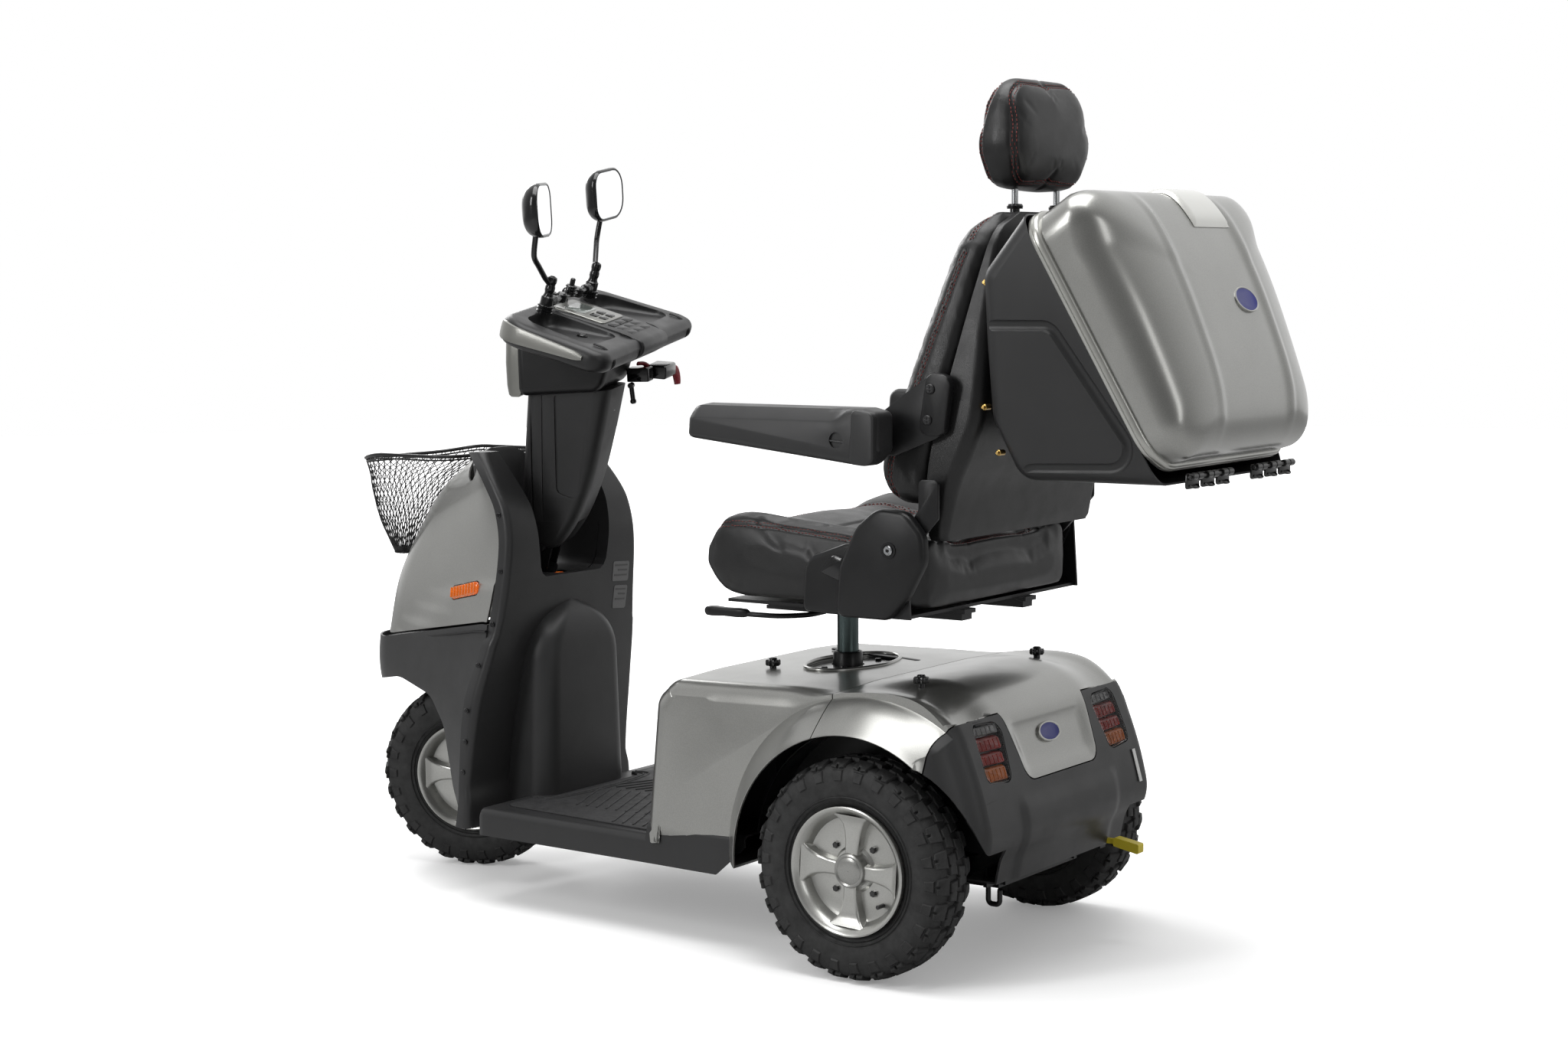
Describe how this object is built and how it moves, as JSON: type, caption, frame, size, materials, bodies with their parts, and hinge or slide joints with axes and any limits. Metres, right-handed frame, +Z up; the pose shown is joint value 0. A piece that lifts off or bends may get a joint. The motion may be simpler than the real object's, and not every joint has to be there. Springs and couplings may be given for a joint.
{
  "type": "mobility scooter",
  "caption": "Three-wheeled mobility scooter with tilting tiller and mirrors, wire basket, swivelling seat with flip-up armrests and a lidded storage box behind the backrest.",
  "frame": {"origin": "floor point under the middle of the whole scooter", "axes": "+Z up; -Y is the front; +X is the rider's left"},
  "size_m": [0.659, 1.7038, 1.3614],
  "materials": {
    "silver_paint": "warm grey metallic paint on moulded panels, satin",
    "charcoal_plastic": "fine grained charcoal moulding",
    "black_plastic": "black moulding",
    "frame_black": "black powder coat on steel",
    "bright_steel": "plated steel",
    "tyre_rubber": "black tyre rubber",
    "floor_rubber": "ribbed black rubber",
    "wheel_silver": "silver lacquer on cast wheel",
    "leather_black": "black leather with red-brown twin stitching",
    "amber_lens": "amber lens",
    "red_lens": "red and amber lamp behind a clear lens",
    "mirror_glass": "silvered mirror glass",
    "wire_mesh": "coated expanded wire mesh",
    "drive_metal": "cast drive housing",
    "battery_case": "battery case",
    "pale_silver": "pale silver gloss",
    "yellow_grip": "yellow lever grip"
  },
  "bodies": {
    "chassis": {"chassis_frame": "frame_black", "rear_crossbar": "frame_black", "floor_pan": "charcoal_plastic", "floor_mat": "floor_rubber", "leg_shield": "charcoal_plastic", "front_panel": "silver_paint", "front_nose": "charcoal_plastic", "front_indicators": "amber_lens", "basket": "wire_mesh", "body_cover": "silver_paint", "rear_cover": "silver_paint", "rear_bumper": "charcoal_plastic", "tail_lamps": "red_lens", "cover_knobs": "black_plastic", "seat_plate": "black_plastic", "batteries": "battery_case", "transaxle": "drive_metal", "shield_screws": "frame_black"},
    "wheel_rear_left": {"tyre_rear_left": "tyre_rubber", "rim_rear_left": "wheel_silver", "axle_rear_left": "bright_steel"},
    "wheel_rear_right": {"tyre_rear_right": "tyre_rubber", "rim_rear_right": "wheel_silver", "axle_rear_right": "bright_steel"},
    "steering": {"steering_fork": "frame_black"},
    "wheel_front": {"tyre_front": "tyre_rubber", "rim_front": "wheel_silver", "axle_front": "bright_steel"},
    "tiller": {"tiller_column": "charcoal_plastic", "tiller_head": "charcoal_plastic", "tiller_trims": "silver_paint", "dash_panel": "pale_silver", "mirror_clamps": "black_plastic"},
    "hazard_button": {"hazard_button": "black_plastic"},
    "throttle": {"throttle_lever": "black_plastic"},
    "tilt_lever": {"tilt_lever": "black_plastic"},
    "mirror_arm_left": {"mirror_stem_left": "frame_black"},
    "mirror_arm_right": {"mirror_stem_right": "frame_black"},
    "mirror_left": {"mirror_shell_left": "black_plastic", "mirror_glass_left": "mirror_glass"},
    "mirror_right": {"mirror_shell_right": "black_plastic", "mirror_glass_right": "mirror_glass"},
    "swivel": {"seat_post": "bright_steel", "seat_rails": "frame_black"},
    "swivel_lever": {"swivel_lever": "black_plastic"},
    "seat": {"seat_pan": "frame_black", "seat_cushion": "leather_black", "recliner_covers": "charcoal_plastic"},
    "recline_lever": {"recline_lever": "charcoal_plastic"},
    "backrest": {"back_cushion": "leather_black", "back_panel": "charcoal_plastic", "box_body": "charcoal_plastic", "box_hinges": "frame_black"},
    "armrest_left": {"armrest_left": "charcoal_plastic"},
    "armrest_right": {"armrest_right": "charcoal_plastic"},
    "headrest": {"headrest": "leather_black", "headrest_posts": "bright_steel"},
    "box_lid": {"box_lid": "silver_paint"},
    "box_latch": {"box_latch": "pale_silver"},
    "freewheel_lever": {"freewheel_lever": "yellow_grip"}
  },
  "joints": [
    {"name": "rear_left_spin", "type": "hinge", "parent": "chassis", "child": "wheel_rear_left", "pos_m": [0.281, 0.358, 0.17], "axis": [1, 0, 0], "continuous": true},
    {"name": "rear_right_spin", "type": "hinge", "parent": "chassis", "child": "wheel_rear_right", "pos_m": [-0.281, 0.358, 0.17], "axis": [1, 0, 0], "continuous": true},
    {"name": "steering_turn", "type": "hinge", "parent": "chassis", "child": "steering", "pos_m": [0, -0.482, 0.59], "axis": [0, 0.309, 0.9511], "range_deg": [-60, 20]},
    {"name": "front_spin", "type": "hinge", "parent": "steering", "child": "wheel_front", "pos_m": [0.00928, -0.64544, 0.16949], "axis": [0.9397, 0.3253, -0.1057], "continuous": true},
    {"name": "tiller_tilt", "type": "hinge", "parent": "steering", "child": "tiller", "pos_m": [0, -0.482, 0.59], "axis": [-0.9397, -0.3253, 0.1057], "range_deg": [-6, 20]},
    {"name": "throttle_press", "type": "hinge", "parent": "tiller", "child": "throttle", "pos_m": [-0.10188, -0.34075, 0.88999], "axis": [0.9397, 0.3253, -0.1057], "range_deg": [-12, 12], "stiffness_Nm_per_rad": 1},
    {"name": "tilt_lever_pull", "type": "hinge", "parent": "tiller", "child": "tilt_lever", "pos_m": [-0.04673, -0.32986, 0.86985], "axis": [-0.9397, -0.3253, 0.1057], "range_deg": [0, 18], "stiffness_Nm_per_rad": 0.4},
    {"name": "hazard_press", "type": "slide", "parent": "tiller", "child": "hazard_button", "axis": [0.0036, -0.3184, -0.948], "range_m": [0, 0.002], "stiffness_N_per_m": 400},
    {"name": "mirror_swivel_left", "type": "hinge", "parent": "tiller", "child": "mirror_arm_left", "pos_m": [0.12879, -0.37157, 1.01523], "axis": [-0.0036, 0.3184, 0.948], "range_deg": [-35, 35]},
    {"name": "mirror_tilt_left", "type": "hinge", "parent": "mirror_arm_left", "child": "mirror_left", "pos_m": [0.18604, -0.34563, 1.13104], "axis": [0.9397, 0.3253, -0.1057], "range_deg": [-15, 15]},
    {"name": "mirror_swivel_right", "type": "hinge", "parent": "tiller", "child": "mirror_arm_right", "pos_m": [-0.0817, -0.44444, 1.0389], "axis": [-0.0036, 0.3184, 0.948], "range_deg": [-35, 35]},
    {"name": "mirror_tilt_right", "type": "hinge", "parent": "mirror_arm_right", "child": "mirror_right", "pos_m": [-0.11842, -0.45103, 1.16528], "axis": [0.9397, 0.3253, -0.1057], "range_deg": [-15, 15]},
    {"name": "seat_swivel", "type": "hinge", "parent": "chassis", "child": "swivel", "pos_m": [0, 0.149, 0.5], "axis": [0, 0, 1], "range_deg": [-90, 90]},
    {"name": "swivel_release", "type": "hinge", "parent": "swivel", "child": "swivel_lever", "pos_m": [0.111, 0.178, 0.527], "axis": [1, 0, 0], "range_deg": [0, 12], "stiffness_Nm_per_rad": 4, "springref_deg": -8.59},
    {"name": "seat_slide", "type": "slide", "parent": "swivel", "child": "seat", "axis": [0, 1, 0], "range_m": [-0.08, 0.05]},
    {"name": "recline_release", "type": "hinge", "parent": "seat", "child": "recline_lever", "pos_m": [0.26, 0.294, 0.586], "axis": [-1, 0, 0], "range_deg": [0, 20], "stiffness_Nm_per_rad": 1.5, "springref_deg": -5.73},
    {"name": "back_recline", "type": "hinge", "parent": "seat", "child": "backrest", "pos_m": [0, 0.403, 0.652], "axis": [1, 0, 0], "range_deg": [-20, 30]},
    {"name": "armrest_lift_left", "type": "hinge", "parent": "backrest", "child": "armrest_left", "pos_m": [0.28, 0.368, 0.813], "axis": [-1, 0, 0], "range_deg": [0, 95]},
    {"name": "armrest_lift_right", "type": "hinge", "parent": "backrest", "child": "armrest_right", "pos_m": [-0.28, 0.368, 0.813], "axis": [-1, 0, 0], "range_deg": [0, 95]},
    {"name": "headrest_height", "type": "slide", "parent": "backrest", "child": "headrest", "axis": [0, 0, 1], "range_m": [0, 0.06]},
    {"name": "box_lid_open", "type": "hinge", "parent": "backrest", "child": "box_lid", "pos_m": [0, 0.842, 0.772], "axis": [-1, 0, 0], "range_deg": [0, 95]},
    {"name": "box_latch_lift", "type": "hinge", "parent": "box_lid", "child": "box_latch", "pos_m": [-0.03, 0.658, 1.1762], "axis": [1, 0, 0], "range_deg": [0, 45]},
    {"name": "freewheel_release", "type": "hinge", "parent": "chassis", "child": "freewheel_lever", "pos_m": [-0.148, 0.528, 0.156], "axis": [0, 0, 1], "range_deg": [0, 55]}
  ]
}
